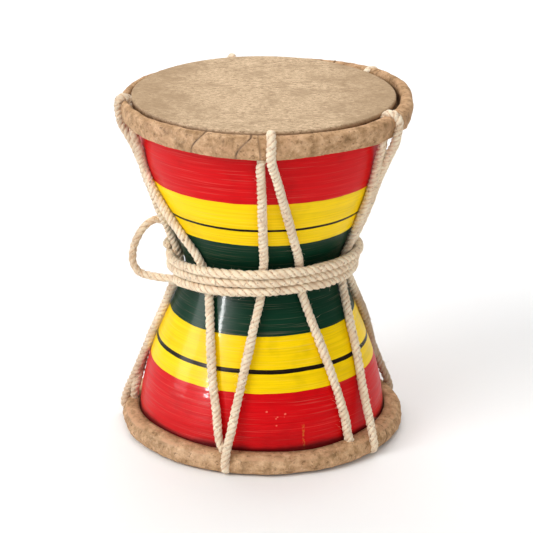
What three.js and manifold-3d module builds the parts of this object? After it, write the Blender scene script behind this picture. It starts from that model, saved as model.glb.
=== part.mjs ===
// A rope-laced hourglass drum that stands on its lower hide. Millimetres, +Z up.
// The origin is the middle of the lower hide's outer face, and the photographed front faces -Y.
import * as THREE from "three";
import { mergeVertices } from "three/addons/utils/BufferGeometryUtils.js";
import Module from "manifold-3d";

const wasm = await Module();
wasm.setup();

// Driving dimensions of the turned shell
const drumHeight = 178; // over the outer faces of the two hides
const waistRadius = 40;
const rimRadius = 64.6;
const flareExponent = 0.72; // under 1 gives a short waist and nearly straight ends
const wallThickness = 6;

// Driving dimensions of the hide heads, with depths measured from a hide's outer face
const hideThickness = 1.4;
const hideEdgeRadius = 1.2;
const hemRise = 2.6; // height of the rolled hem's rounded top
const hemTaper = 1.2; // how much the hem draws in towards its lower edge
const hemFoot = 1.4; // bevel under the hem's lower edge
const grooveWidth = 1.7; // mean gap between the skirt and the rolled hem
const grooveFloor = 4; // hide between the groove's bottom and the hem's lower edge
const hemCover = 3.5; // hide that is left outside the lacing
const hemWave = 0.6; // unevenness of the hem's lower edge

// Driving dimensions of the ropes
const ropeDiameter = 4.6;
const girdleTurns = 2.95;
const girdleOffset = 2.5; // girdle's middle above the drum's middle
const girdleLeanSide = 0.039; // rise of the girdle per unit to the right
const girdleLeanFront = 0.097; // rise of the girdle per unit to the front
const girdleStart = 200; // degrees

const touchGap = 0.3; // clearance between pieces that touch

// Angles in degrees, anticlockwise from +X, where the lacing passes each hoop
const topCrossings = [-87, -30, 38.6, 104, 188];
const bottomCrossings = [-104, -39, 21, 88, 176];
// How much farther round the strand behind each hem is than the crossing over it
const topLeads = [-4, 0, 4, -4, 12];
const bottomLeads = [-4, -9, 4, -4, 3];
// How far from the hem's edge, inwards along the shell, each such strand turns to its crossing
const topTurns = [4.6, 4.6, 4.6, 4.6, 4.6];
const bottomTurns = [4.6, -1, 4.6, 4.6, 4.6];
const waistCrossings = [186, 228.5, 270, 294.5, 339, 355, 390, 423, 456]; // strands under the girdle
const lacingEnds = 140; // where both ends of the lacing are tucked under the girdle

// The two heads, rolled by hand. The hem's lower edge is at hemDepth and its rolled top at
// hemTopDepth, which rises by hemLift round hemLiftAngle, and it sits off centre by shift. The
// lacing stands ropeProud over the hide's face and presses ropeBite deep into the hem.
const hemLiftAngle = 24; // degrees
const hemLiftPower = 5;
const topHead = {
  up: true,
  hemDepth: 12.4,
  hemTopDepth: 1.6,
  hemLift: 3,
  shift: 1.5,
  wavePhase: 0.4,
  ropeProud: 2,
  ropeBite: 1.2,
};
const bottomHead = {
  up: false,
  hemDepth: 10.5,
  hemTopDepth: 0.8,
  hemLift: 0,
  shift: 0.3,
  wavePhase: 2.1,
  ropeProud: -touchGap,
  ropeBite: 2,
};

// Fineness of the facets
const roundSegments = 34;
const outerRows = 18;
const innerRows = 5;
const ropeSides = 7;
const bendSteps = 5;
const strandSteps = 3;
const waistSteps = 4;
const turnSteps = 21;

// Sizes that follow
const ropeRadius = ropeDiameter / 2;
const halfHeight = drumHeight / 2;
const rimDepth = hideThickness + touchGap;
const skirtInner = rimRadius + touchGap;
const skirtOuter = skirtInner + hideThickness;
const hemInner = skirtOuter + grooveWidth;
const hemOuter = rimRadius + 2 * touchGap + ropeDiameter + hemCover;
const turnPitch = ropeDiameter + touchGap;
const girdleHalf = (girdleTurns * turnPitch + ropeDiameter) / 2;

const radians = THREE.MathUtils.degToRad;

// The shell's outer radius at a height
function shellRadius(z) {
  const away = Math.min(Math.abs(z - halfHeight) / halfHeight, 1);
  const flare = Math.sin((Math.PI / 2) * away ** flareExponent) ** 2;
  return waistRadius + (rimRadius - waistRadius) * flare;
}

// How much longer a radial step is than the true distance from the sloping shell
function slopeStretch(z) {
  const step = 0.5;
  return Math.hypot(1, (shellRadius(z + step) - shellRadius(z - step)) / (2 * step));
}

// The smallest radius at which a rope's centre lies clear of the shell
function ropeSeatRadius(z) {
  return shellRadius(z) + (touchGap + ropeRadius) * slopeStretch(z);
}

function polar(radius, angle, z) {
  return new THREE.Vector3(
    radius * Math.cos(radians(angle)),
    radius * Math.sin(radians(angle)),
    z,
  );
}

// A geometry as a solid whose shared corners are merged
function solidOf(geometry) {
  const bare = geometry.clone();
  bare.deleteAttribute("normal");
  bare.deleteAttribute("uv");
  const merged = mergeVertices(bare, 1e-4);
  return new wasm.Manifold(
    new wasm.Mesh({
      numProp: 3,
      vertProperties: merged.attributes.position.array,
      triVerts: new Uint32Array(merged.index.array),
    }),
  );
}

function geometryOf(solid) {
  const mesh = solid.getMesh();
  const geometry = new THREE.BufferGeometry();
  geometry.setAttribute("position", new THREE.BufferAttribute(mesh.vertProperties, 3));
  geometry.setIndex(new THREE.BufferAttribute(mesh.triVerts, 1));
  geometry.computeVertexNormals();
  return geometry;
}

function piece(name, geometry, color, roughness) {
  const mesh = new THREE.Mesh(
    geometry,
    new THREE.MeshStandardMaterial({ color, roughness, metalness: 0 }),
  );
  mesh.name = name;
  return mesh;
}

// A profile of [radius, height] points revolved about Z
function revolve(profile) {
  const outline = profile.map(([radius, z]) => new THREE.Vector2(radius, z));
  return new THREE.LatheGeometry(outline, roundSegments).rotateX(Math.PI / 2);
}

// Points on a quarter or half ellipse about a centre, from one angle in degrees to another
function ellipseArc(centre, halfWidth, halfRise, from, to, steps) {
  return Array.from({ length: steps + 1 }, (_, i) => {
    const angle = radians(from + ((to - from) * i) / steps);
    return [centre[0] + halfWidth * Math.cos(angle), centre[1] + halfRise * Math.sin(angle)];
  });
}

// The shell: a hollow turned hourglass, open at both ends
function makeShell() {
  const low = rimDepth;
  const high = drumHeight - rimDepth;
  const rows = (count) =>
    Array.from({ length: count + 1 }, (_, i) => low + ((high - low) * i) / count);
  const outside = rows(outerRows).map((z) => [shellRadius(z), z]);
  const inside = rows(innerRows).map((z) => [shellRadius(z) - wallThickness * slopeStretch(z), z]);
  return revolve([...outside, ...inside.reverse(), outside[0]]);
}

// A head's hide in section, as [radius, depth] points from the axis out and back to the axis
function hideSection({ hemDepth, hemTopDepth }) {
  const hemMiddle = (hemInner + hemOuter) / 2;
  const hemHalf = (hemOuter - hemInner) / 2;
  const rolledTop = ellipseArc([hemMiddle, -hemTopDepth - hemRise], hemHalf, hemRise, 0, 180, 5);
  const faceEdge = ellipseArc(
    [skirtOuter - hideEdgeRadius, -hideEdgeRadius],
    hideEdgeRadius,
    hideEdgeRadius,
    0,
    90,
    2,
  );
  return [
    [0, hideThickness],
    [skirtInner, hideThickness],
    [skirtInner, hemDepth],
    [hemOuter - hemTaper - hemFoot, hemDepth],
    [hemOuter - hemTaper, hemDepth - hemFoot],
    ...rolledTop.map(([radius, z]) => [radius, -z]),
    [hemInner, hemDepth - grooveFloor],
    [skirtOuter, hemDepth - grooveFloor],
    ...faceEdge.map(([radius, z]) => [radius, -z]),
    [0, 0],
  ];
}

// The hem was rolled by hand: it sits off centre and its lower edge waves
function hemShift(head, angle) {
  return head.shift * Math.cos(angle);
}

function hemDrop(head, angle) {
  return hemWave * (Math.sin(3 * angle + head.wavePhase) + Math.sin(7 * angle) / 2);
}

function hemRaise(head, angle) {
  return head.hemLift * Math.max(Math.cos(angle - radians(hemLiftAngle)), 0) ** hemLiftPower;
}

function headPlace(head, depth) {
  return head.up ? drumHeight - depth : depth;
}

// A head: the playing skin, its skirt over the shell and its hem rolled round the hoop
function makeHead(head, lacingCutter) {
  const section = hideSection(head).map(([radius, depth]) => [radius, headPlace(head, depth)]);
  const geometry = revolve(head.up ? section : section.reverse());
  const position = geometry.attributes.position;
  for (let i = 0; i < position.count; i++) {
    const x = position.getX(i);
    const y = position.getY(i);
    const radius = Math.hypot(x, y);
    if (radius <= skirtOuter) continue;
    const angle = Math.atan2(y, x);
    const depth = head.up ? drumHeight - position.getZ(i) : position.getZ(i);
    const share = (depth - head.hemTopDepth) / (head.hemDepth - head.hemTopDepth);
    const grown = (radius + hemShift(head, angle)) / radius;
    const moved = depth + hemDrop(head, angle) * share - hemRaise(head, angle) * (1 - share);
    position.setXYZ(i, x * grown, y * grown, headPlace(head, moved));
  }
  return geometryOf(solidOf(geometry).subtract(lacingCutter));
}

// A way through chosen stations, which an extrusion follows from one to the next
class Stations extends THREE.Curve {
  constructor(points) {
    super();
    this.points = points;
  }

  getPoint(t, target = new THREE.Vector3()) {
    const place = t * (this.points.length - 1);
    const index = Math.min(Math.floor(place), this.points.length - 2);
    return target.lerpVectors(this.points[index], this.points[index + 1], place - index);
  }

  getPointAt(u, target) {
    return this.getPoint(u, target);
  }

  getTangentAt(u, target = new THREE.Vector3()) {
    const last = this.points.length - 1;
    const index = Math.round(u * last);
    const here = this.points[index];
    const arriving = here.clone().sub(this.points[Math.max(index - 1, 0)]).normalize();
    const leaving = this.points[Math.min(index + 1, last)].clone().sub(here).normalize();
    return target.addVectors(arriving, leaving).normalize();
  }
}

function ropeTube(points, radius) {
  const rim = Array.from({ length: ropeSides }, (_, i) => {
    const angle = (2 * Math.PI * i) / ropeSides;
    return new THREE.Vector2(radius * Math.cos(angle), radius * Math.sin(angle));
  });
  return new THREE.ExtrudeGeometry(new THREE.Shape(rim), {
    steps: points.length - 1,
    extrudePath: new Stations(points),
    bevelEnabled: false,
  });
}

// The lacing at one hoop: out from behind the hem, over its rolled top and down its outer side
function crossing({ head, angle, lead, turn }) {
  const hemHere = hemOuter + hemShift(head, radians(angle));
  const behind = skirtInner + ropeRadius;
  const outside = hemHere + ropeRadius - head.ropeBite;
  const bend = (outside - behind) / 2;
  const bendDepth = ropeRadius - head.ropeProud + bend;
  const points = [polar(behind, angle + lead, headPlace(head, head.hemDepth + turn))];
  for (let i = 0; i <= bendSteps; i++) {
    const swing = Math.PI * (1 - i / bendSteps);
    const radius = behind + bend + bend * Math.cos(swing);
    points.push(polar(radius, angle, headPlace(head, bendDepth - bend * Math.sin(swing))));
  }
  points.push(polar(outside - hemTaper, angle, headPlace(head, head.hemDepth + hemWave)));
  return points;
}

// The height of the girdle's middle at a place on it
function girdleHeight(x, y) {
  return halfHeight + girdleOffset + girdleLeanSide * x - girdleLeanFront * y;
}

function pushedOffShell(point) {
  const radius = Math.hypot(point.x, point.y);
  const grown = Math.max(ropeSeatRadius(point.z) / radius, 1);
  return new THREE.Vector3(point.x * grown, point.y * grown, point.z);
}

// Inner stations of a taut stretch, which lies on the shell where the shell stands in its way
function tautStretch(from, to) {
  return Array.from({ length: strandSteps }, (_, i) =>
    pushedOffShell(new THREE.Vector3().lerpVectors(from, to, (i + 1) / (strandSteps + 1))),
  );
}

// A strand's place under the girdle, with side from 1 at the girdle's upper edge to -1 at its lower
function waistStation(angle, side) {
  const middle = polar(waistRadius, angle, 0);
  const z = girdleHeight(middle.x, middle.y) + side * girdleHalf;
  return polar(ropeSeatRadius(z), angle, z);
}

// Stations under the girdle, from its upper edge to its lower when down is 1, else the other way
function underGirdle(angle, slant, down) {
  return Array.from({ length: waistSteps + 1 }, (_, i) => {
    const share = (2 * i) / waistSteps - 1;
    return waistStation(angle + slant * share, -down * share);
  });
}

function strand(from, to, angle, slant) {
  const under = underGirdle(angle, slant, Math.sign(from.z - to.z));
  return [...tautStretch(from, under[0]), ...under, ...tautStretch(under[waistSteps], to)];
}

// The lacing's stations: one rope that passes the lower and upper hoops in turn
function lacingStations() {
  const count = topCrossings.length;
  const passes = [];
  for (let i = 0; i < count; i++) {
    const place = (count - 1 + i) % count;
    const round = 360 * Math.floor((count - 1 + i) / count);
    passes.push({
      head: bottomHead,
      angle: bottomCrossings[place] + round,
      lead: bottomLeads[place],
      turn: bottomTurns[place],
    });
    passes.push({
      head: topHead,
      angle: topCrossings[place] + round,
      lead: topLeads[place],
      turn: topTurns[place],
    });
  }
  const endStep = THREE.MathUtils.radToDeg(ropeDiameter / waistRadius);
  const points = underGirdle(lacingEnds + endStep, 0, 1);
  passes.forEach((pass, i) => {
    const around = crossing(pass);
    const last = points[points.length - 1];
    if (i === 0) {
      points.push(...tautStretch(last, around[0]));
    } else {
      const before = passes[i - 1].angle;
      points.push(...strand(last, around[0], waistCrossings[i - 1], (pass.angle - before) / 20));
    }
    points.push(...around);
  });
  const tuck = underGirdle(360 + lacingEnds - endStep, 0, 1);
  points.push(...tautStretch(points[points.length - 1], tuck[0]), ...tuck);
  return points;
}

// The loop of spare rope at the left, as [outwards, upwards, degrees] from the girdle's middle
const loopStations = [
  [2.5, 20, 183],
  [7, 21.5, 184],
  [12, 19.5, 185],
  [16.5, 14, 186],
  [19.3, 7, 187],
  [19.6, 0, 188],
  [16.8, -5, 189],
  [12, -6.8, 191],
  [6, -7.2, 195],
];

// The girdle: a rope wound over the lacing at the waist, with its spare end left as a loop
function girdleStations() {
  const seat = (z) => ropeSeatRadius(z) + ropeDiameter + touchGap;
  const loop = loopStations.map(([out, up, angle]) => {
    const middle = polar(waistRadius, angle, 0);
    const z = girdleHeight(middle.x, middle.y);
    return polar(seat(z) + out, angle, z + up);
  });
  const steps = Math.round(girdleTurns * turnSteps);
  const coil = Array.from({ length: steps + 1 }, (_, i) => {
    const turn = (girdleTurns * i) / steps;
    const angle = girdleStart + 360 * turn;
    const middle = polar(waistRadius, angle, 0);
    const z = girdleHeight(middle.x, middle.y) + turnPitch * (turn - girdleTurns / 2);
    return polar(seat(z) / Math.cos(Math.PI / turnSteps), angle, z);
  });
  return [...loop, ...coil];
}

const lacing = lacingStations();
const lacingCutter = solidOf(ropeTube(lacing, ropeRadius + touchGap));

const drum = new THREE.Group();
drum.add(
  piece("shell", makeShell(), 0xc81e26, 0.3),
  piece("head_top", makeHead(topHead, lacingCutter), 0xcdb491, 0.85),
  piece("head_bottom", makeHead(bottomHead, lacingCutter), 0xaf9169, 0.85),
  piece("lacing_rope", ropeTube(lacing, ropeRadius), 0xe8dcc4, 0.9),
  piece("waist_rope", ropeTube(girdleStations(), ropeRadius), 0xf0e4cc, 0.9),
);

export default drum;
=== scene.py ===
"""A rope-laced hourglass drum: lacquered shell, hide heads, twisted lacing and girdle."""
import math
import random

import bpy
import numpy as np
from mathutils import Matrix, Vector, noise


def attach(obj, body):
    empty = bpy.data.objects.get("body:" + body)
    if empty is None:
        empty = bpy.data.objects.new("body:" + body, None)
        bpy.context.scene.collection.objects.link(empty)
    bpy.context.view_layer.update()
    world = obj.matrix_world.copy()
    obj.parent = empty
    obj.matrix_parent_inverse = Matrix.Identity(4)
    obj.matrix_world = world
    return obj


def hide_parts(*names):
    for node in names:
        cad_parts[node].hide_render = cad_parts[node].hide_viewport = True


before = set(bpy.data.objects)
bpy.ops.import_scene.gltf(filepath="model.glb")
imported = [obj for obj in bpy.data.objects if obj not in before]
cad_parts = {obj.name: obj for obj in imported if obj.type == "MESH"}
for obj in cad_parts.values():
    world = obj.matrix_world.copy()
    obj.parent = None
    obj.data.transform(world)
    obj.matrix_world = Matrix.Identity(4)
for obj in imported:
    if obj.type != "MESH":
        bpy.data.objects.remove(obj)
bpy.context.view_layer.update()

# Everything below is in millimetres until a mesh is made
MM = 0.001

# The drum's sizes, as in the frame
DRUM_HEIGHT = 178.0
HALF_HEIGHT = DRUM_HEIGHT / 2
WAIST_RADIUS = 40.0
RIM_RADIUS = 64.6
FLARE_EXPONENT = 0.72
WALL = 6.0
HIDE_THICKNESS = 1.4
ROPE_DIAMETER = 4.6
ROPE_RADIUS = ROPE_DIAMETER / 2
SEAT_GAP = 0.1
SKIRT_INNER = RIM_RADIUS + 0.3
SKIRT_OUTER = SKIRT_INNER + HIDE_THICKNESS
HEM_OUTER = 73.3
RIM_DEPTH = HIDE_THICKNESS + 0.3

# The photograph's camera
CAMERA_DISTANCE = 1.0083
CAMERA_ELEVATION = math.radians(20.2)
CAMERA_ROLL = math.radians(0.42)
CAMERA_TARGET = Vector((0.002, 0.0, 0.08505))
CAMERA_LENS = 131.7

WORLD_STRENGTH = 0.34
FLOOR_REACH = 3.0


def srgb(red, green, blue):
    """A colour given in 0 to 255 steps, as linear light."""
    def linear(step):
        share = step / 255
        return share / 12.92 if share <= 0.04045 else ((share + 0.055) / 1.055) ** 2.4
    return (linear(red), linear(green), linear(blue), 1.0)


# Camera, lights and floor

def make_camera():
    data = bpy.data.cameras.new("photo_camera")
    data.lens = CAMERA_LENS
    data.sensor_width = 36.0
    camera = bpy.data.objects.new("photo_camera", data)
    bpy.context.scene.collection.objects.link(camera)
    back = Vector((0, -math.cos(CAMERA_ELEVATION), math.sin(CAMERA_ELEVATION)))
    turn = Matrix.Rotation(math.pi / 2 - CAMERA_ELEVATION, 4, "X")
    turn = turn @ Matrix.Rotation(CAMERA_ROLL, 4, "Z")
    camera.matrix_world = Matrix.Translation(CAMERA_TARGET + back * CAMERA_DISTANCE) @ turn
    bpy.context.scene.camera = camera


def area_light(name, place, target, size, power, diffuse=True, glossy=True):
    data = bpy.data.lights.new(name, "AREA")
    data.shape = "RECTANGLE"
    data.size, data.size_y = size
    data.energy = power
    light = bpy.data.objects.new(name, data)
    bpy.context.scene.collection.objects.link(light)
    light.visible_diffuse = diffuse
    light.visible_glossy = glossy
    light.location = place
    light.rotation_euler = (Vector(target) - Vector(place)).to_track_quat("-Z", "Y").to_euler()


def make_lights():
    world = bpy.data.worlds.new("studio")
    world.use_nodes = True
    world.node_tree.nodes["Background"].inputs["Color"].default_value = (1, 1, 1, 1)
    world.node_tree.nodes["Background"].inputs["Strength"].default_value = WORLD_STRENGTH
    bpy.context.scene.world = world
    middle = (0, 0, 0.09)
    area_light("key", (-0.8, -0.6, 0.9), middle, (0.7, 0.7), 9.9, glossy=False)
    area_light("window", (-0.77, -0.58, 0.33), middle, (0.07, 0.4), 22.0, diffuse=False)
    area_light("side", (-0.95, -0.1, 0.35), middle, (0.3, 0.7), 9.0, diffuse=False)
    area_light("fill", (0.6, -1.1, 0.6), middle, (0.8, 0.8), 3.4, glossy=False)
    area_light("top", (0.1, 0.2, 1.2), middle, (0.9, 0.9), 3.4)
    area_light("backdrop", (0.0, 1.6, 1.6), (0.0, 1.9, 0.0), (2.5, 1.5), 40.0, glossy=False)
    bpy.context.scene.view_settings.view_transform = "Standard"
    bpy.context.scene.view_settings.look = "None"


# Material nodes

class Nodes:
    """A material's node tree, built by short calls."""

    def __init__(self, name):
        self.material = bpy.data.materials.new(name)
        self.material.use_nodes = True
        self.tree = self.material.node_tree
        self.shader = self.tree.nodes["Principled BSDF"]
        self.place = self.add("ShaderNodeTexCoord").outputs["Object"]

    def add(self, kind, inputs=None, **settings):
        made = self.tree.nodes.new(kind)
        for key, value in settings.items():
            setattr(made, key, value)
        for key, value in (inputs or {}).items():
            self.feed(made.inputs[key], value)
        return made

    def feed(self, socket, value):
        if isinstance(value, bpy.types.NodeSocket):
            self.tree.links.new(value, socket)
        else:
            socket.default_value = value

    def set(self, **values):
        for key, value in values.items():
            self.feed(self.shader.inputs[key.replace("_", " ")], value)

    def math(self, operation, *values):
        made = self.add("ShaderNodeMath", operation=operation)
        for i, value in enumerate(values):
            self.feed(made.inputs[i], value)
        return made.outputs[0]

    def scaled(self, vector, x, y, z):
        made = self.add("ShaderNodeVectorMath", operation="MULTIPLY")
        self.feed(made.inputs[0], vector)
        made.inputs[1].default_value = (x, y, z)
        return made.outputs[0]

    def noise(self, vector, scale=1.0, detail=3.0, roughness=0.55, distortion=0.0):
        made = self.add("ShaderNodeTexNoise", {
            "Vector": vector, "Scale": scale, "Detail": detail,
            "Roughness": roughness, "Distortion": distortion})
        return made.outputs["Fac"]

    def spread(self, value, low, high, to_low=0.0, to_high=1.0):
        made = self.add("ShaderNodeMapRange", {
            "Value": value, "From Min": low, "From Max": high,
            "To Min": to_low, "To Max": to_high}, interpolation_type="SMOOTHSTEP")
        return made.outputs["Result"]

    def mix(self, share, first, second):
        made = self.add("ShaderNodeMix", data_type="RGBA")
        self.feed(made.inputs[0], share)
        self.feed(made.inputs[6], first)
        self.feed(made.inputs[7], second)
        return made.outputs[2]

    def ramp(self, value, stops, interpolation="LINEAR"):
        made = self.add("ShaderNodeValToRGB", {"Fac": value})
        made.color_ramp.interpolation = interpolation
        elements = made.color_ramp.elements
        while len(elements) < len(stops):
            elements.new(1.0)
        for element, (place, color) in zip(elements, stops):
            element.position = place
            element.color = color
        return made.outputs["Color"]

    def attribute(self, name, output="Fac"):
        return self.add("ShaderNodeAttribute", attribute_name=name).outputs[output]

    def bump(self, height, strength, distance):
        made = self.add("ShaderNodeBump", {
            "Height": height, "Strength": strength, "Distance": distance})
        return made.outputs["Normal"]

    def axis(self, name):
        return self.add("ShaderNodeSeparateXYZ", {"Vector": self.place}).outputs[name]

    def along(self, direction):
        """How far the shaded point lies along a direction."""
        made = self.add("ShaderNodeVectorMath", operation="DOT_PRODUCT")
        self.feed(made.inputs[0], self.place)
        made.inputs[1].default_value = direction
        return made.outputs["Value"]

    def away(self, middle):
        """Distance of the shaded point from a place."""
        made = self.add("ShaderNodeVectorMath", operation="DISTANCE")
        self.feed(made.inputs[0], self.place)
        made.inputs[1].default_value = middle
        return made.outputs["Value"]


RED = srgb(211, 6, 14)
YELLOW = srgb(255, 214, 0)
LINE = srgb(24, 14, 5)
GREEN = srgb(10, 52, 34)
# Pale horizontal rubs: partly worn paint, partly painted glints of light
RUB_AND_GLINT = srgb(255, 205, 180)
CHIPPED = srgb(230, 100, 84)
SCRATCHED = srgb(206, 104, 40)
# Painted contact shadow: a near black maroon just above the lower hem
PAINTED_CONTACT_SHADOW = srgb(52, 8, 10)
BARE_WOOD = srgb(176, 138, 92)

# Lower edge of each painted band, in millimetres above the table
BANDS = [
    (0.0, RED), (38.5, YELLOW), (47.7, LINE), (49.9, YELLOW), (64.8, GREEN),
    (113.0, YELLOW), (121.2, LINE), (123.0, YELLOW), (137.3, RED),
]

# Small paint losses on the lower red band: angle in degrees, height and size in millimetres
CHIPS = [
    (-87.5, 30.3, 0.5), (-83.2, 26.8, 0.5), (-82.4, 27.4, 0.4), (-78.8, 28.8, 0.6),
    (-79.3, 27.4, 0.4), (-83.0, 23.2, 0.5),
]
SCRATCH_ANGLE = -70.4
SCRATCH_HEIGHTS = (9.0, 22.5)

# In metres, as the shader reads them: half the scratch's width from clear to full, how softly it ends,
# and where the painted contact shadow above the lower hem sets in and is full
SCRATCH_WIDTHS = (0.0009, 0.0003)
SCRATCH_FADE = 0.001
CONTACT_SHADOW_HEIGHTS = (0.0142, 0.0108)


def lacquer_material():
    n = Nodes("lacquered_wood")
    height = n.axis("Z")
    wobble = n.math("MULTIPLY_ADD", n.noise(n.place, 55.0, 2.0), 0.0009, -0.00045)
    level = n.math("DIVIDE", n.math("ADD", height, wobble), DRUM_HEIGHT * MM)
    bands = n.ramp(level, [(z / DRUM_HEIGHT, color) for z, color in BANDS], "CONSTANT")
    streaks = n.noise(n.scaled(n.place, 22.0, 22.0, 1500.0), 1.0, 4.0, 0.6)
    broad = n.noise(n.scaled(n.place, 9.0, 9.0, 170.0), 1.0, 3.0, 0.5)
    shade = n.math("MULTIPLY_ADD", streaks, 0.5, 0.7)
    shade = n.math("MULTIPLY_ADD", n.math("SUBTRACT", broad, 0.5), 0.35, shade)
    stain = n.spread(n.noise(n.place, 48.0, 3.0), 0.52, 0.72, 1.0, 0.86)
    shade = n.math("MULTIPLY", shade, stain)
    painted = n.add("ShaderNodeHueSaturation", {"Color": bands, "Value": shade}).outputs[0]
    # Pale horizontal streaks: partly worn paint, partly painted glints of light
    rubs_and_glints = n.noise(n.scaled(n.place, 30.0, 30.0, 2400.0), 1.0, 2.0, 0.5)
    rubs_and_glints = n.math("MULTIPLY", n.spread(rubs_and_glints, 0.56, 0.74), 0.075)
    painted = n.mix(rubs_and_glints, painted, RUB_AND_GLINT)
    loss = 0.0
    for angle, z, size in CHIPS:
        radius = shell_radius(z) * MM
        turn = math.radians(angle)
        apart = n.away((radius * math.cos(turn), radius * math.sin(turn), z * MM))
        ragged = n.math("MULTIPLY_ADD", n.noise(n.place, 900.0, 2.0), 0.0012, -0.0006)
        near = n.spread(n.math("ADD", apart, ragged), size * MM, 0.6 * size * MM)
        loss = n.math("MAXIMUM", loss, near)
    scratch = scratch_mask(n)
    pale = n.mix(loss, painted, CHIPPED)
    worn = n.mix(n.math("MULTIPLY", scratch, 0.65), pale, SCRATCHED)
    # Painted contact shadow: the paint darkens to near black maroon just above the lower hem
    contact_shadow = n.spread(n.math("ADD", height, n.math("MULTIPLY", wobble, 4.0)), *CONTACT_SHADOW_HEIGHTS)
    worn = n.mix(n.math("MULTIPLY", contact_shadow, 0.85), worn, PAINTED_CONTACT_SHADOW)
    bare = n.mix(n.attribute("inside"), worn, BARE_WOOD)
    relief = n.math("ADD", n.math("MULTIPLY", streaks, 0.6), n.math("MULTIPLY", broad, 0.6))
    n.set(Base_Color=bare, Coat_Weight=0.08, Coat_Roughness=0.1,
          Roughness=n.spread(streaks, 0.3, 0.7, 0.3, 0.46), Normal=n.bump(relief, 0.6, 0.0003))
    n.shader.inputs["Specular IOR Level"].default_value = 0.06
    return n.material


def scratch_mask(n):
    """A dotted upright scratch through the red into the yellow under it."""
    radius = shell_radius(15.0) * MM
    angle = math.radians(SCRATCH_ANGLE)
    side = n.along((-math.sin(angle), math.cos(angle), 0))
    front = n.along((math.cos(angle), math.sin(angle), 0))
    height = n.axis("Z")
    narrow = n.spread(n.math("ABSOLUTE", side), *SCRATCH_WIDTHS)
    outward = n.spread(front, 0.6 * radius, 0.8 * radius)
    low, high = (z * MM for z in SCRATCH_HEIGHTS)
    span = n.math("MULTIPLY", n.spread(height, low - SCRATCH_FADE, low),
                  n.spread(height, high + SCRATCH_FADE, high))
    dots = n.spread(n.noise(n.place, 900.0, 3.0), 0.45, 0.55)
    return n.math("MULTIPLY", n.math("MULTIPLY", narrow, outward), n.math("MULTIPLY", span, dots))


def hide_material():
    n = Nodes("hide")
    skin = n.attribute("skin")
    blotch = n.noise(n.place, 70.0, 5.0, 0.65)
    mottle = n.noise(n.place, 190.0, 6.0, 0.68, 0.2)
    grain = n.noise(n.scaled(n.place, 380.0, 1200.0, 900.0), 1.0, 4.0, 0.78)
    fine = n.noise(n.place, 1500.0, 3.0, 0.6)
    speck = n.noise(n.place, 520.0, 4.0, 0.7)
    face = n.ramp(n.math("MULTIPLY_ADD", n.math("SUBTRACT", fine, 0.5), 0.35, grain),
                  [(0.32, srgb(128, 102, 74)), (0.5, srgb(198, 170, 137)), (0.68, srgb(232, 206, 173))])
    face = n.mix(n.spread(blotch, 0.44, 0.66, 0.0, 0.55), face, srgb(160, 134, 104))
    # Painted shade: the skin darkens towards its left and right sides
    reach = n.math("ADD", n.math("ABSOLUTE", n.axis("X")), n.math("MULTIPLY", blotch, 0.02))
    edge = n.spread(reach, 0.03, 0.07)
    face = n.mix(n.math("MULTIPLY", edge, 0.5), face, srgb(152, 124, 92))
    rough = n.ramp(mottle,
                   [(0.32, srgb(138, 106, 72)), (0.5, srgb(182, 144, 105)), (0.68, srgb(216, 178, 140))])
    rough = n.mix(n.spread(blotch, 0.46, 0.66, 0.0, 0.45), rough, srgb(198, 154, 118))
    rough = n.mix(n.spread(speck, 0.55, 0.7, 0.0, 0.5), rough, srgb(222, 190, 156))
    rough = n.mix(n.spread(speck, 0.45, 0.34, 0.0, 0.75), rough, srgb(112, 82, 54))
    color = n.mix(skin, rough, face)
    # Painted shade: the groove behind the hem and the pleats' creases are coloured dark brown
    painted_shade = n.math("MULTIPLY", n.attribute("painted_shade"), n.spread(mottle, 0.38, 0.56, 0.45, 1.0))
    color = n.mix(painted_shade, color, srgb(58, 34, 16))
    lip = n.math("MULTIPLY", n.attribute("lip"), n.spread(blotch, 0.4, 0.62))
    color = n.mix(lip, color, srgb(206, 160, 124))
    relief = n.math("ADD", n.math("MULTIPLY", fine, 0.3), n.math("MULTIPLY", speck, 0.6))
    relief = n.math("ADD", relief, n.math("MULTIPLY", grain, 0.5))
    n.set(Base_Color=color, Roughness=n.spread(grain, 0.3, 0.7, 0.62, 0.82),
          Normal=n.bump(relief, 0.45, 0.0004))
    n.shader.inputs["Specular IOR Level"].default_value = 0.15
    return n.material


# In metres, from clear to full: the strands browned by painted shade, which are those at the far left, and
# one low at the far right and behind
FAR_LEFT_SHADE_X = (-0.056, -0.066)
LOW_RIGHT_SHADE_X = (0.034, 0.05)
LOW_RIGHT_SHADE_Y = (-0.004, 0.006)
LOW_RIGHT_SHADE_Z = (0.082, 0.062)


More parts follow.
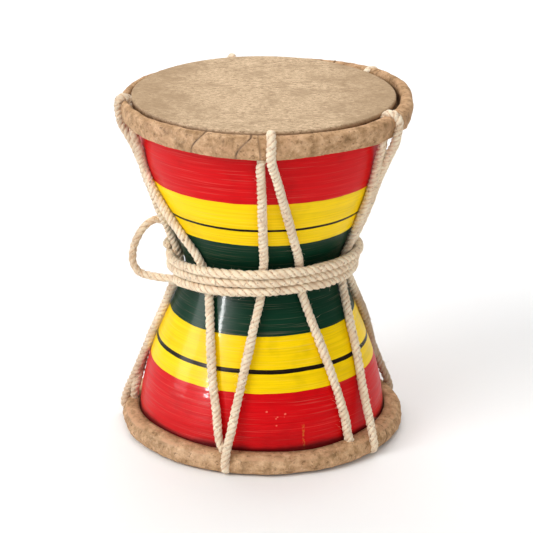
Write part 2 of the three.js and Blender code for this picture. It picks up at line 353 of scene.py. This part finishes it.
def rope_material(name, light, shadow):
    n = Nodes(name)
    crown = n.attribute("crown")
    fibre_place = n.attribute("fibre", "Vector")
    fibres = n.noise(n.scaled(fibre_place, 3600.0, 3600.0, 420.0), 1.0, 3.0, 0.65)
    flecks = n.noise(n.place, 1000.0, 3.0, 0.7)
    patches = n.noise(n.place, 150.0, 3.0)
    # Painted shade: the strands at the far left are browned
    far_left_shade = n.spread(n.axis("X"), *FAR_LEFT_SHADE_X)
    # Painted shade and highlight: the crown value darkens the valleys between plies and lightens their tops
    # over fibre and fleck tone; the ramp's pale top stop is a painted highlight
    tone_and_ply_shade = n.math("MULTIPLY_ADD", n.math("SUBTRACT", fibres, 0.5), 1.1, n.math("MULTIPLY", crown, 0.6))
    tone_and_ply_shade = n.math("MULTIPLY_ADD", n.math("SUBTRACT", flecks, 0.42), 1.3, tone_and_ply_shade)
    base = n.ramp(tone_and_ply_shade, [(0.0, shadow), (0.45, light), (1.0, srgb(252, 240, 218))])
    color = n.mix(n.spread(patches, 0.42, 0.68, 0.0, 0.5), base, srgb(224, 190, 156))
    color = n.mix(n.math("MULTIPLY", far_left_shade, 0.35), color, srgb(178, 138, 104))
    # Painted shade: the strand low at the far right and behind is browned
    low_right_shade = n.math("MULTIPLY", n.spread(n.axis("X"), *LOW_RIGHT_SHADE_X), n.spread(n.axis("Y"), *LOW_RIGHT_SHADE_Y))
    low_right_shade = n.math("MULTIPLY", low_right_shade, n.spread(n.axis("Z"), *LOW_RIGHT_SHADE_Z))
    color = n.mix(n.math("MULTIPLY", low_right_shade, 0.55), color, srgb(136, 102, 72))
    stain = n.noise(n.place, 620.0, 2.0)
    color = n.mix(n.spread(stain, 0.61, 0.7, 0.0, 0.6), color, srgb(150, 112, 80))
    relief = n.math("ADD", fibres, n.math("MULTIPLY", flecks, 0.8))
    n.set(Base_Color=color, Roughness=0.9, Normal=n.bump(relief, 0.7, 0.0004))
    n.shader.inputs["Specular IOR Level"].default_value = 0.15
    n.shader.inputs["Sheen Weight"].default_value = 0.2
    n.shader.inputs["Sheen Roughness"].default_value = 0.5
    return n.material


def floor_material():
    n = Nodes("pale_floor")
    n.set(Base_Color=(0.92, 0.92, 0.92, 1.0), Roughness=0.9)
    return n.material


# Mesh helpers

def make_mesh(name, vertices, faces, material, attributes=None):
    """A smooth mesh from vertices in millimetres, with one named value or vector at each."""
    mesh = bpy.data.meshes.new(name)
    mesh.from_pydata((np.asarray(vertices) * MM).tolist(), [], faces)
    for key, values in (attributes or {}).items():
        values = np.asarray(values, dtype=float)
        if values.ndim == 1:
            mesh.attributes.new(key, "FLOAT", "POINT").data.foreach_set("value", values)
        else:
            mesh.attributes.new(key, "FLOAT_VECTOR", "POINT").data.foreach_set("vector", values.ravel())
    mesh.materials.append(material)
    mesh.shade_smooth()
    piece = bpy.data.objects.new(name, mesh)
    bpy.context.scene.collection.objects.link(piece)
    return piece


def ring_faces(rows, count, closed):
    """Quads between successive rings of count vertices; closed joins the last ring to the first."""
    faces = []
    for row in range(rows if closed else rows - 1):
        here, above = row * count, ((row + 1) % rows) * count
        for i in range(count):
            j = (i + 1) % count
            faces.append((here + i, here + j, above + j, above + i))
    return faces


def shell_radius(z):
    away = min(abs(z - HALF_HEIGHT) / HALF_HEIGHT, 1.0)
    flare = math.sin(math.pi / 2 * away ** FLARE_EXPONENT) ** 2
    return WAIST_RADIUS + (RIM_RADIUS - WAIST_RADIUS) * flare


def slope_stretch(z):
    return math.hypot(1.0, shell_radius(z + 0.5) - shell_radius(z - 0.5))


def seat_radius(z):
    """Smallest radius at which a rope's middle lies on the shell."""
    return shell_radius(z) + (ROPE_RADIUS + SEAT_GAP) * slope_stretch(z)


# The shell

SHELL_SEGMENTS = 240
OUTER_ROWS = 190
INNER_ROWS = 40

# Turning marks, how far the shell is from round, and the clearance under the solid's surface
RIPPLES = (0.035, 0.03)
OUT_OF_ROUND = 0.0012
SURFACE_GAP = 0.05

# The incised black lines: depth, then the middle and half width of each
LINE_GROOVE = 0.18
LINE_HEIGHTS = [(48.8, 1.1), (122.15, 0.75)]


def make_shell(material):
    low, high = RIM_DEPTH, DRUM_HEIGHT - RIM_DEPTH - HEAD_LEAN * RIM_RADIUS
    outside = []
    for z in np.linspace(low, high, OUTER_ROWS):
        ripple = RIPPLES[0] * math.sin(z * 1.7) + RIPPLES[1] * math.sin(z * 0.61 + 1.0)
        groove = sum(LINE_GROOVE * math.exp(-(((z - middle) / half) ** 4)) for middle, half in LINE_HEIGHTS)
        outside.append((shell_radius(z) + ripple - SURFACE_GAP - groove, z, 0.0))
    inside = [(shell_radius(z) - WALL * slope_stretch(z), z, 1.0)
              for z in np.linspace(high, low, INNER_ROWS)]
    rows = outside + inside
    angles = np.linspace(0, 2 * math.pi, SHELL_SEGMENTS, endpoint=False)
    vertices = []
    for radius, z, _ in rows:
        for angle in angles:
            out = radius * (1 + OUT_OF_ROUND * math.sin(2 * angle + 0.7))
            vertices.append((out * math.cos(angle), out * math.sin(angle), z))
    inner = np.repeat([row[2] for row in rows], SHELL_SEGMENTS)
    faces = ring_faces(len(rows), SHELL_SEGMENTS, True)
    shell = make_mesh("lacquered_shell", vertices, faces, material, {"inside": inner})
    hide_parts("shell")
    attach(shell, "root")


# Route of the ropes, as in the frame

# Angles in degrees, anticlockwise from +X, where the lacing passes each hoop. Each lead is how much
# farther round the strand behind the hem is. Each turn is how far from the hem's edge, towards the
# waist, that strand turns to its crossing, in millimetres.
TOP_CROSSINGS = [-87, -30, 38.6, 104, 188]
BOTTOM_CROSSINGS = [-104, -39, 21, 88, 176]
TOP_LEADS = [-4, 0, 4, -4, 12]
BOTTOM_LEADS = [-4, -9, 4, -4, 3]
TOP_TURNS = [4.6, 4.6, 4.6, 4.6, 4.6]
BOTTOM_TURNS = [4.6, -1, 4.6, 4.6, 4.6]
WAIST_CROSSINGS = [186, 228.5, 270, 294.5, 339, 355, 390, 423, 456]
LACING_ENDS = 140
HEM_TAPER = 1.2
HEM_WAVE = 0.6
BEND_STEPS = 8
STRAND_STEPS = 5
WAIST_STEPS = 6
COIL_STEPS = 36
WAIST_SLANT = 1 / 20
GIRDLE_TURNS = 2.95
GIRDLE_OFFSET = 2.5
GIRDLE_LEAN_SIDE = 0.039
GIRDLE_LEAN_FRONT = 0.097
GIRDLE_START = 200
TURN_PITCH = ROPE_DIAMETER + 0.3
GIRDLE_HALF = (GIRDLE_TURNS * TURN_PITCH + ROPE_DIAMETER) / 2

# The upper head leans forwards and its hide warps up at the back, fully so above the span
HEAD_LEAN = 0.016
BACK_RISE = 0.00026
LEAN_FROM = 140.0
LEAN_SPAN = 25.0
HEM_LIFT_ANGLE = math.radians(24)
HEM_LIFT_POWER = 5

# The hem reaches from depth to top_depth, sits off centre by shift, rises by lift at one side and
# dips by dip at the back. Its edge is rounded by soft and its side bulges. The lacing stands proud of
# the face and bites into the hem.
TOP = {"name": "hide_top", "node": "head_top", "up": True, "depth": 12.0, "top_depth": 1.6, "lift": 3.0,
       "dip": 0.5, "soft": 0.3, "bulge": 0.35, "shift": 1.5, "phase": 0.4, "proud": 2.0, "bite": 1.2,
       "seed": 3.0}
BOTTOM = {"name": "hide_bottom", "node": "head_bottom", "up": False, "depth": 10.5, "top_depth": 0.8,
          "lift": 0.0, "dip": 0.0, "soft": 1.7, "bulge": 0.8, "shift": 0.3, "phase": 2.1, "proud": -0.3,
          "bite": 2.0, "seed": 11.0}


def polar(radius, degrees, z):
    return Vector((radius * math.cos(math.radians(degrees)), radius * math.sin(math.radians(degrees)), z))


def head_place(head, depth):
    return DRUM_HEIGHT - depth if head["up"] else depth


def crossing(head, angle, lead, turn):
    """The lacing at one hoop: out from behind the hem, over its rolled top and down outside."""
    hem_here = HEM_OUTER + head["shift"] * math.cos(math.radians(angle))
    behind = SKIRT_INNER + ROPE_RADIUS
    outside = hem_here + ROPE_RADIUS - head["bite"]
    bend = (outside - behind) / 2
    bend_depth = ROPE_RADIUS - head["proud"] + bend
    points = [polar(behind, angle + lead, head_place(head, head["depth"] + turn))]
    for i in range(BEND_STEPS + 1):
        swing = math.pi * (1 - i / BEND_STEPS)
        radius = behind + bend + bend * math.cos(swing)
        points.append(polar(radius, angle, head_place(head, bend_depth - bend * math.sin(swing))))
    points.append(polar(outside - HEM_TAPER, angle, head_place(head, head["depth"] + HEM_WAVE)))
    return points


def girdle_height(x, y):
    return HALF_HEIGHT + GIRDLE_OFFSET + GIRDLE_LEAN_SIDE * x - GIRDLE_LEAN_FRONT * y


def head_tilt(z, y, warp=0.0):
    """Rise of the upper head at a place: it leans forwards, and its hide warps up at the back."""
    share = min(max((z - LEAN_FROM) / LEAN_SPAN, 0.0), 1.0)
    return (HEAD_LEAN * y + warp * max(y, 0.0) ** 2) * share


def pushed_off_shell(point):
    radius = math.hypot(point.x, point.y)
    grown = max(seat_radius(point.z) / radius, 1.0)
    return Vector((point.x * grown, point.y * grown, point.z))


def taut_stretch(start, end):
    shares = [(i + 1) / (STRAND_STEPS + 1) for i in range(STRAND_STEPS)]
    return [pushed_off_shell(start.lerp(end, share)) for share in shares]


def waist_station(angle, side):
    middle = polar(WAIST_RADIUS, angle, 0)
    z = girdle_height(middle.x, middle.y) + side * GIRDLE_HALF
    return polar(seat_radius(z), angle, z)


def under_girdle(angle, slant, down):
    shares = [2 * i / WAIST_STEPS - 1 for i in range(WAIST_STEPS + 1)]
    return [waist_station(angle + slant * share, -down * share) for share in shares]


def lacing_stations():
    count = len(TOP_CROSSINGS)
    passes = []
    for i in range(count):
        place, whole = (count - 1 + i) % count, 360 * ((count - 1 + i) // count)
        passes.append((BOTTOM, BOTTOM_CROSSINGS[place] + whole, BOTTOM_LEADS[place], BOTTOM_TURNS[place]))
        passes.append((TOP, TOP_CROSSINGS[place] + whole, TOP_LEADS[place], TOP_TURNS[place]))
    end_step = math.degrees(ROPE_DIAMETER / WAIST_RADIUS)
    points = under_girdle(LACING_ENDS + end_step, 0, 1)
    for i, (head, angle, lead, turn) in enumerate(passes):
        around = crossing(head, angle, lead, turn)
        last = points[-1]
        if i == 0:
            points += taut_stretch(last, around[0])
        else:
            before = passes[i - 1][1]
            down = 1 if last.z > around[0].z else -1
            under = under_girdle(WAIST_CROSSINGS[i - 1], (angle - before) * WAIST_SLANT, down)
            points += taut_stretch(last, under[0]) + under + taut_stretch(under[-1], around[0])
        points += around
    tuck = under_girdle(360 + LACING_ENDS - end_step, 0, 1)
    points += taut_stretch(points[-1], tuck[0]) + tuck
    return [Vector((p.x, p.y, p.z + head_tilt(p.z, p.y))) for p in points]


# The loop of spare rope at the left: outwards, upwards and degrees
LOOP_STATIONS = [
    (2.5, 20, 183), (7, 21.5, 184), (12, 19.5, 185), (16.5, 14, 186), (19.3, 7, 187),
    (19.6, 0, 188), (16.8, -5, 189), (12, -6.8, 191), (6, -7.2, 195),
]


def girdle_stations():
    points = []
    for out, up, angle in LOOP_STATIONS:
        middle = polar(WAIST_RADIUS, angle, 0)
        z = girdle_height(middle.x, middle.y)
        points.append(polar(seat_radius(z) + ROPE_DIAMETER + out, angle, z + up))
    steps = round(GIRDLE_TURNS * COIL_STEPS)
    for i in range(steps + 1):
        turn = GIRDLE_TURNS * i / steps
        angle = GIRDLE_START + 360 * turn
        middle = polar(WAIST_RADIUS, angle, 0)
        z = girdle_height(middle.x, middle.y) + TURN_PITCH * (turn - GIRDLE_TURNS / 2)
        points.append(polar(seat_radius(z) + ROPE_DIAMETER, angle, z))
    return points


# Twisted rope

SAME_POINT = 0.05
FINE_STEP = 0.4
FIRST_ACROSS = (0.3, 0.2, 0.9)


def smooth_route(points, spacing):
    """Even steps along a centripetal Catmull-Rom curve through the points."""
    knots = np.array([tuple(p) for p in points])
    gaps = np.linalg.norm(np.diff(knots, axis=0), axis=1)
    keep = np.concatenate([[True], gaps > SAME_POINT])
    knots = knots[keep]
    knots = np.vstack([2 * knots[0] - knots[1], knots, 2 * knots[-1] - knots[-2]])
    fine = []
    for i in range(len(knots) - 3):
        p0, p1, p2, p3 = knots[i:i + 4]
        t1 = np.linalg.norm(p1 - p0) ** 0.5
        t2 = t1 + np.linalg.norm(p2 - p1) ** 0.5
        t3 = t2 + np.linalg.norm(p3 - p2) ** 0.5
        steps = max(2, int(np.linalg.norm(p2 - p1) / FINE_STEP))
        for t in np.linspace(t1, t2, steps, endpoint=False):
            a1 = (t1 - t) / t1 * p0 + t / t1 * p1
            a2 = (t2 - t) / (t2 - t1) * p1 + (t - t1) / (t2 - t1) * p2
            a3 = (t3 - t) / (t3 - t2) * p2 + (t - t2) / (t3 - t2) * p3
            b1 = (t2 - t) / t2 * a1 + t / t2 * a2
            b2 = (t3 - t) / (t3 - t1) * a2 + (t - t1) / (t3 - t1) * a3
            fine.append((t2 - t) / (t2 - t1) * b1 + (t - t1) / (t2 - t1) * b2)
    fine = np.array(fine + [knots[-2]])
    along = np.concatenate([[0], np.cumsum(np.linalg.norm(np.diff(fine, axis=0), axis=1))])
    even = np.linspace(0, along[-1], int(along[-1] / spacing) + 1)
    return np.stack([np.interp(even, along, fine[:, k]) for k in range(3)], 1), even


def carried_frames(points):
    """Tangent, normal and binormal at each point, carried along without twist."""
    tangents = np.gradient(points, axis=0)
    tangents /= np.linalg.norm(tangents, axis=1)[:, None]
    normals = np.zeros_like(points)
    first = np.cross(tangents[0], FIRST_ACROSS)
    normals[0] = first / np.linalg.norm(first)
    for i in range(1, len(points)):
        turned = normals[i - 1] - tangents[i] * np.dot(normals[i - 1], tangents[i])
        normals[i] = turned / np.linalg.norm(turned)
    return tangents, normals, np.cross(tangents, normals)


# Clearance of ropes and fibres above the table
TABLE_GAP = 0.05

# Facets of a rope: its plies, the points round each, and the steps along it
PLIES = 3
PLY_POINTS = 7
ROPE_STEP = 0.7

# How much of a tight rope's grooves this loose cotton shows
LOBE_SHARE = 0.28

# Unevenness of a rope: its lay in radians, its thickness, its way in millimetres, its surface, its
# plies, the thickness at its very end, and the thinner start of the girdle
LAY_DRIFT = 1.8
THICKNESS_DRIFT = 0.12
SWAY = 0.3
FUZZ = 0.13
PLY_DRIFT = 0.12
END_SHARE = 0.55
THIN_SHARE = 0.84
THIN_FADE = 30.0


def lobed_section():
    """Radius, as a share of the rope's, at even angles round a section of round plies."""
    ply = 1 / (1 + 1 / math.sin(math.pi / PLIES))
    offset = 1 - ply
    radii = []
    for i in range(PLIES * PLY_POINTS):
        turn = 2 * math.pi * (i + 0.5) / (PLIES * PLY_POINTS)
        near = (turn + math.pi / PLIES) % (2 * math.pi / PLIES) - math.pi / PLIES
        radii.append(offset * math.cos(near) + math.sqrt(ply ** 2 - (offset * math.sin(near)) ** 2))
    return 1 - LOBE_SHARE * (1 - np.array(radii))


def rope_mesh(points, radius, lay, seed, thin_end=0.0):
    """Vertices, faces and shading values of a laid rope, which is thinner up to thin_end if given."""
    route, along = smooth_route(points, ROPE_STEP)
    tangents, normals, binormals = carried_frames(route)
    section = lobed_section()
    count = len(section)
    angles = 2 * math.pi * (np.arange(count) + 0.5) / count
    lowest = section.min()
    vertices, crown, fibre = [], [], []
    for i, middle in enumerate(route):
        s = along[i]
        loose = noise.noise(Vector((s * 0.05, seed, 0.0)))
        turn = 2 * math.pi * s / lay + LAY_DRIFT * noise.noise(Vector((s * 0.03, seed + 5, 0.0)))
        size = radius * (1 + THICKNESS_DRIFT * loose)
        size *= min(1.0, END_SHARE + min(s, along[-1] - s) / radius)
        if thin_end:
            size *= THIN_SHARE + (1 - THIN_SHARE) * min(max((s - thin_end) / THIN_FADE, 0.0), 1.0)
        sway = Vector((s * 0.06, 0.0, seed + 9))
        sideways = noise.noise(sway) * normals[i] + noise.noise(sway * 1.3) * binormals[i]
        middle = middle + SWAY * sideways
        for k in range(count):
            around = angles[k] + turn
            fuzz = 1 + FUZZ * noise.noise(Vector((s * 1.3, k * 1.1, seed)))
            fuzz += PLY_DRIFT * noise.noise(Vector((s * 0.22, k // PLY_POINTS * 7.0, seed + 3)))
            out = size * section[k] * fuzz
            outward = math.cos(around) * normals[i] + math.sin(around) * binormals[i]
            vertices.append(middle + out * outward)
            crown.append((section[k] - lowest) / (1 - lowest))
            fibre.append((out * math.cos(angles[k]) * MM, out * math.sin(angles[k]) * MM, s * MM))
    faces = ring_faces(len(route), count, False)
    for end, ring in ((0, range(count - 1, -1, -1)), (len(route) - 1, range(count))):
        hub = len(vertices)
        vertices.append(route[end])
        crown.append(0.3)
        fibre.append((0.0, 0.0, along[end] * MM))
        ring = [end * count + k for k in ring]
        faces += [(ring[k], ring[(k + 1) % count], hub) for k in range(count)]
    return vertices, faces, crown, fibre, (route, tangents, normals, binormals)


FIBRE_LENGTHS = (0.6, 2.6)
LONG_FIBRE_LENGTHS = (3.0, 5.5)
LONG_FIBRE_SHARE = 0.03
FIBRE_RADII = (0.045, 0.085)
FIBRE_BEND = 0.7
FIBRE_ROOT = 0.8
FIBRE_RISE = 0.6


def add_fibres(parts, lines, radius, count, seed):
    """Stray fibres that stand off a rope, as thin three-sided hairs."""
    vertices, faces, crown, fibre = parts
    route, tangents, normals, binormals = lines
    draw = random.Random(seed)
    for _ in range(count):
        i = draw.randrange(4, len(route) - 4)
        turn = draw.uniform(0, 2 * math.pi)
        out = math.cos(turn) * normals[i] + math.sin(turn) * binormals[i]
        side = -math.sin(turn) * normals[i] + math.cos(turn) * binormals[i]
        lean = draw.uniform(-1.0, 1.0)
        lengths = FIBRE_LENGTHS if draw.random() > LONG_FIBRE_SHARE else LONG_FIBRE_LENGTHS
        length = draw.uniform(*lengths)
        bend = draw.uniform(-FIBRE_BEND, FIBRE_BEND)
        thick = draw.uniform(*FIBRE_RADII)
        start = route[i] + out * radius * FIBRE_ROOT
        base = len(vertices)
        for step in range(4):
            reach = length * step / 3
            place = start + out * reach * FIBRE_RISE + tangents[i] * reach * lean
            place = place + side * bend * reach ** 2 / length
            slim = thick * (1 - 0.25 * step)
            for corner in range(3):
                bearing = 2 * math.pi * corner / 3
                vertices.append(place + slim * (math.cos(bearing) * side + math.sin(bearing) * tangents[i]))
                crown.append(0.8)
                fibre.append(tuple(place * MM))
        for row in ring_faces(4, 3, False):
            faces.append(tuple(base + k for k in row))
        faces.append((base + 2, base + 1, base))
        faces.append((base + 9, base + 10, base + 11))


def make_rope(name, node, stations, radius, lay, fibres, material, seed, thin_end=0.0):
    vertices, faces, crown, fibre, lines = rope_mesh(stations, radius, lay, seed, thin_end)
    add_fibres((vertices, faces, crown, fibre), lines, radius, fibres, seed)
    vertices = [(x, y, max(z, TABLE_GAP)) for x, y, z in vertices]
    rope = make_mesh(name, vertices, faces, material, {"crown": crown, "fibre": fibre})
    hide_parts(node)
    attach(rope, "root")


# The hide heads

HEAD_SEGMENTS = 900

# Height of the hem's rolled top, depth of the groove's floor above the hem's edge, where the skirt
# starts in the groove, rounding of the skin's edge, and how far the hem's foot is drawn in
HEM_RISE = 2.6
GROOVE_FLOOR = 4.0
SKIRT_TOP = 1.6
SKIN_EDGE = 0.9
FOOT_GAP = 0.1

# Low relief of the hem: the height and fineness of its rumples, how far pleats push it out and up,
# and how uneven its rolled top is
RUMPLES = [(0.8, 0.07), (0.45, 0.2), (0.2, 0.55), (0.08, 1.5)]
PLEAT_OUT = 0.6
PLEAT_UP = 0.3
HEM_BUMPS = 0.12

# Shading values: the painted shade in the groove and in a pleat's crease, and the pale lip's rows and share
GROOVE_PAINTED_SHADE = 0.85
CREASE_PAINTED_SHADE = 0.35
LIP_ROWS = range(9, 13)
LIP_SHARE = 0.8

# A pleat's reach, fall and rise in widths, and the depth of its crease as a share of its height
PLEAT_REACH = 9
PLEAT_FALL = 3
PLEAT_RISE = 0.5
CREASE_DEPTH = 0.35

# Pleats in the upper hem: degrees at the top and at the foot of the hem, width in degrees, height
TOP_PLEATS = [
    (-113.0, -118.3, 0.5, 1.3), (-94.6, -100.3, 0.5, 1.3), (-91.9, -91.0, 0.3, 0.4),
    (58.0, 53.0, 0.4, 0.7), (81.0, 86.0, 0.4, 0.5), (127.0, 121.0, 0.4, 0.7), (150.0, 154.0, 0.4, 0.5),
]
BOTTOM_PLEATS = [
    (-31.0, -28.0, 0.4, 0.4), (35.0, 31.0, 0.4, 0.7), (64.0, 69.0, 0.4, 0.6), (110.0, 104.0, 0.4, 0.7),
    (139.0, 143.0, 0.4, 0.6), (162.0, 159.0, 0.4, 0.5),
]


def groove_width(head, angle):
    """Gap between the skirt and the rolled hem, in millimetres, at an angle in radians."""
    side = 0.5 + 0.5 * math.cos(angle - 0.55)
    left = 0.5 - 0.5 * math.cos(angle + 0.1)
    wave = 0.25 * noise.noise(Vector((math.cos(angle) * 3, math.sin(angle) * 3, head["seed"])))
    if head["up"]:
        return 0.12 + 2.6 * side ** 5 + 1.6 * left ** 9 + wave * side
    return 0.6 + 1.0 * side + wave


def section_points(head, angle):
    """The hide in section, as (radius, depth, skin, hem share), from the axis out and back.

    A negative hem share marks the inside of the groove, which is painted dark as shade."""
    hem_out = HEM_OUTER + head["shift"] * math.cos(angle)
    gap = groove_width(head, angle)
    hem_in = SKIRT_OUTER + gap
    wave = HEM_WAVE * (math.sin(3 * angle + head["phase"]) + math.sin(7 * angle) / 2)
    foot = head["depth"] + wave
    points = [(SKIRT_OUTER * share, HIDE_THICKNESS, 0.0, 0.0) for share in (0.02, 0.4, 0.8)]
    points += [(SKIRT_INNER, depth, 0.0, 0.0) for depth in (HIDE_THICKNESS, 5.0, foot)]
    lip = hem_out - HEM_TAPER
    soft = head["soft"]
    points += [(SKIRT_INNER + (lip - SKIRT_INNER) * t, foot - FOOT_GAP - 0.5 * soft * t ** 3, 0.0, 0.6)
               for t in (0.3, 0.5, 0.7)]
    for swing in np.linspace(0.2, math.pi / 2, 6):
        depth = foot - FOOT_GAP - soft * (1.5 - math.cos(swing))
        points.append((lip - soft * (1 - math.sin(swing)), depth, 0.0, 1.0))
    raised = head["lift"] * max(math.cos(angle - HEM_LIFT_ANGLE), 0.0) ** HEM_LIFT_POWER
    raised -= head["dip"] * math.sin(angle)
    shoulder = head["top_depth"] - raised + HEM_RISE
    for t in np.linspace(0.08, 0.94, 16):
        depth = foot - FOOT_GAP - 1.5 * soft + (shoulder - foot + FOOT_GAP + 1.5 * soft) * t
        bulge = head["bulge"] * math.sin(math.pi * t)
        points.append((lip + (hem_out - lip) * t + bulge, depth, 0.0, 1.0))
    middle, half = (hem_in + hem_out) / 2, (hem_out - hem_in) / 2
    for swing in np.linspace(0, math.pi, 18):
        points.append((middle + half * math.cos(swing), shoulder - HEM_RISE * math.sin(swing), 0.0, 1.0))
    floor = head["depth"] - GROOVE_FLOOR
    points += [(hem_in, shoulder + (floor - shoulder) * t, 0.0, -1.0) for t in (0.2, 0.6, 1.0)]
    points += [(SKIRT_OUTER, SKIRT_TOP + (floor - SKIRT_TOP) * t, 0.0, -1.0) for t in (1.0, 0.7, 0.4, 0.1)]
    for swing in np.linspace(0, math.pi / 2, 7):
        radius = SKIRT_OUTER - SKIN_EDGE + SKIN_EDGE * math.cos(swing)
        points.append((radius, SKIN_EDGE - SKIN_EDGE * math.sin(swing), 1.0, 0.0))
    points += [(radius, 0.0, 1.0, 0.0) for radius in (63.5, 61, 58, 54, 48, 40, 30, 18, 6)]
    return points


def pleat_shape(pleats, degrees, share):
    """Raised overlap and painted crease shade of the pleats at a place on the hem."""
    lift = crease_shade = 0.0
    for top, foot, width, height in pleats:
        curve = top + (foot - top) * math.sin(share * math.pi / 2)
        apart = (degrees - curve + 180) % 360 - 180
        if abs(apart) > PLEAT_REACH * width:
            continue
        crease_shade = max(crease_shade, math.exp(-((apart / width) ** 2)) * min(1.0, height + CREASE_PAINTED_SHADE))
        if apart > 0:
            rise = 1 - math.exp(-apart / (PLEAT_RISE * width))
            lift += height * math.exp(-apart / (PLEAT_FALL * width)) * rise
        lift -= CREASE_DEPTH * height * math.exp(-((apart / width) ** 2))
    return lift, crease_shade


def make_head(head, material):
    pleats = TOP_PLEATS if head["up"] else BOTTOM_PLEATS
    angles = np.linspace(0, 2 * math.pi, HEAD_SEGMENTS, endpoint=False)
    columns = [section_points(head, angle) for angle in angles]
    rows = len(columns[0])
    vertices, skin, painted_shade, lip = [], [], [], []
    for row in range(rows):
        for angle, column in zip(angles, columns):
            radius, depth, face, hem = column[row]
            groove, hem = max(-hem, 0.0), max(hem, 0.0)
            share = min(max((depth - head["top_depth"]) / (head["depth"] - head["top_depth"]), 0.0), 1.0)
            lift, crease_shade = pleat_shape(pleats, math.degrees(angle), share) if hem > 0 else (0.0, 0.0)
            direction = Vector((math.cos(angle), math.sin(angle), 0))
            spot = direction * radius + Vector((0, 0, depth * 1.3 + head["seed"] * 20))
            rumple = sum(height * noise.noise(spot * fineness) for height, fineness in RUMPLES)
            out = radius + hem * (rumple + PLEAT_OUT * lift)
            raised = depth - hem * PLEAT_UP * lift + hem * HEM_BUMPS * noise.noise(spot * 0.9)
            z = max(head_place(head, raised), 0.0)
            y = out * math.sin(angle)
            vertices.append((out * math.cos(angle), y, z + head_tilt(z, y, BACK_RISE)))
            skin.append(face)
            # Painted shade in the groove and in the pleats' creases
            painted_shade.append(max(crease_shade * hem, GROOVE_PAINTED_SHADE * groove))
            lip.append(LIP_SHARE if row in LIP_ROWS else 0.0)
    faces = ring_faces(rows, HEAD_SEGMENTS, False)
    for ring, depth in ((0, HIDE_THICKNESS), (rows - 1, 0.0)):
        hub = len(vertices)
        vertices.append((0, 0, head_place(head, depth)))
        skin.append(1.0)
        painted_shade.append(0.0)
        lip.append(0.0)
        base = ring * HEAD_SEGMENTS
        for i in range(HEAD_SEGMENTS):
            j = (i + 1) % HEAD_SEGMENTS
            faces.append((base + j, base + i, hub) if ring == 0 else (base + i, base + j, hub))
    if not head["up"]:
        faces = [tuple(reversed(face)) for face in faces]
    piece = make_mesh(head["name"], vertices, faces, material, {"skin": skin, "painted_shade": painted_shade, "lip": lip})
    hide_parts(head["node"])
    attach(piece, "root")


def make_floor():
    reach = FLOOR_REACH
    corners = [(-reach, -reach, 0), (reach, -reach, 0), (reach, reach, 0), (-reach, reach, 0)]
    mesh = bpy.data.meshes.new("floor")
    mesh.from_pydata(corners, [], [(0, 1, 2, 3)])
    mesh.materials.append(floor_material())
    floor = bpy.data.objects.new("floor", mesh)
    bpy.context.scene.collection.objects.link(floor)


make_camera()
make_lights()
make_floor()
make_shell(lacquer_material())
hide = hide_material()
make_head(TOP, hide)
make_head(BOTTOM, hide)
lacing_look = rope_material("lacing_cord", srgb(254, 234, 202), srgb(214, 172, 142))
girdle_look = rope_material("girdle_cord", srgb(255, 234, 200), srgb(204, 162, 128))
make_rope("lacing", "lacing_rope", lacing_stations(), radius=2.3, lay=8.2, fibres=3300,
          material=lacing_look, seed=17)
make_rope("girdle", "waist_rope", girdle_stations(), radius=2.42, lay=11.0, fibres=2400,
          material=girdle_look, seed=29, thin_end=55.0)
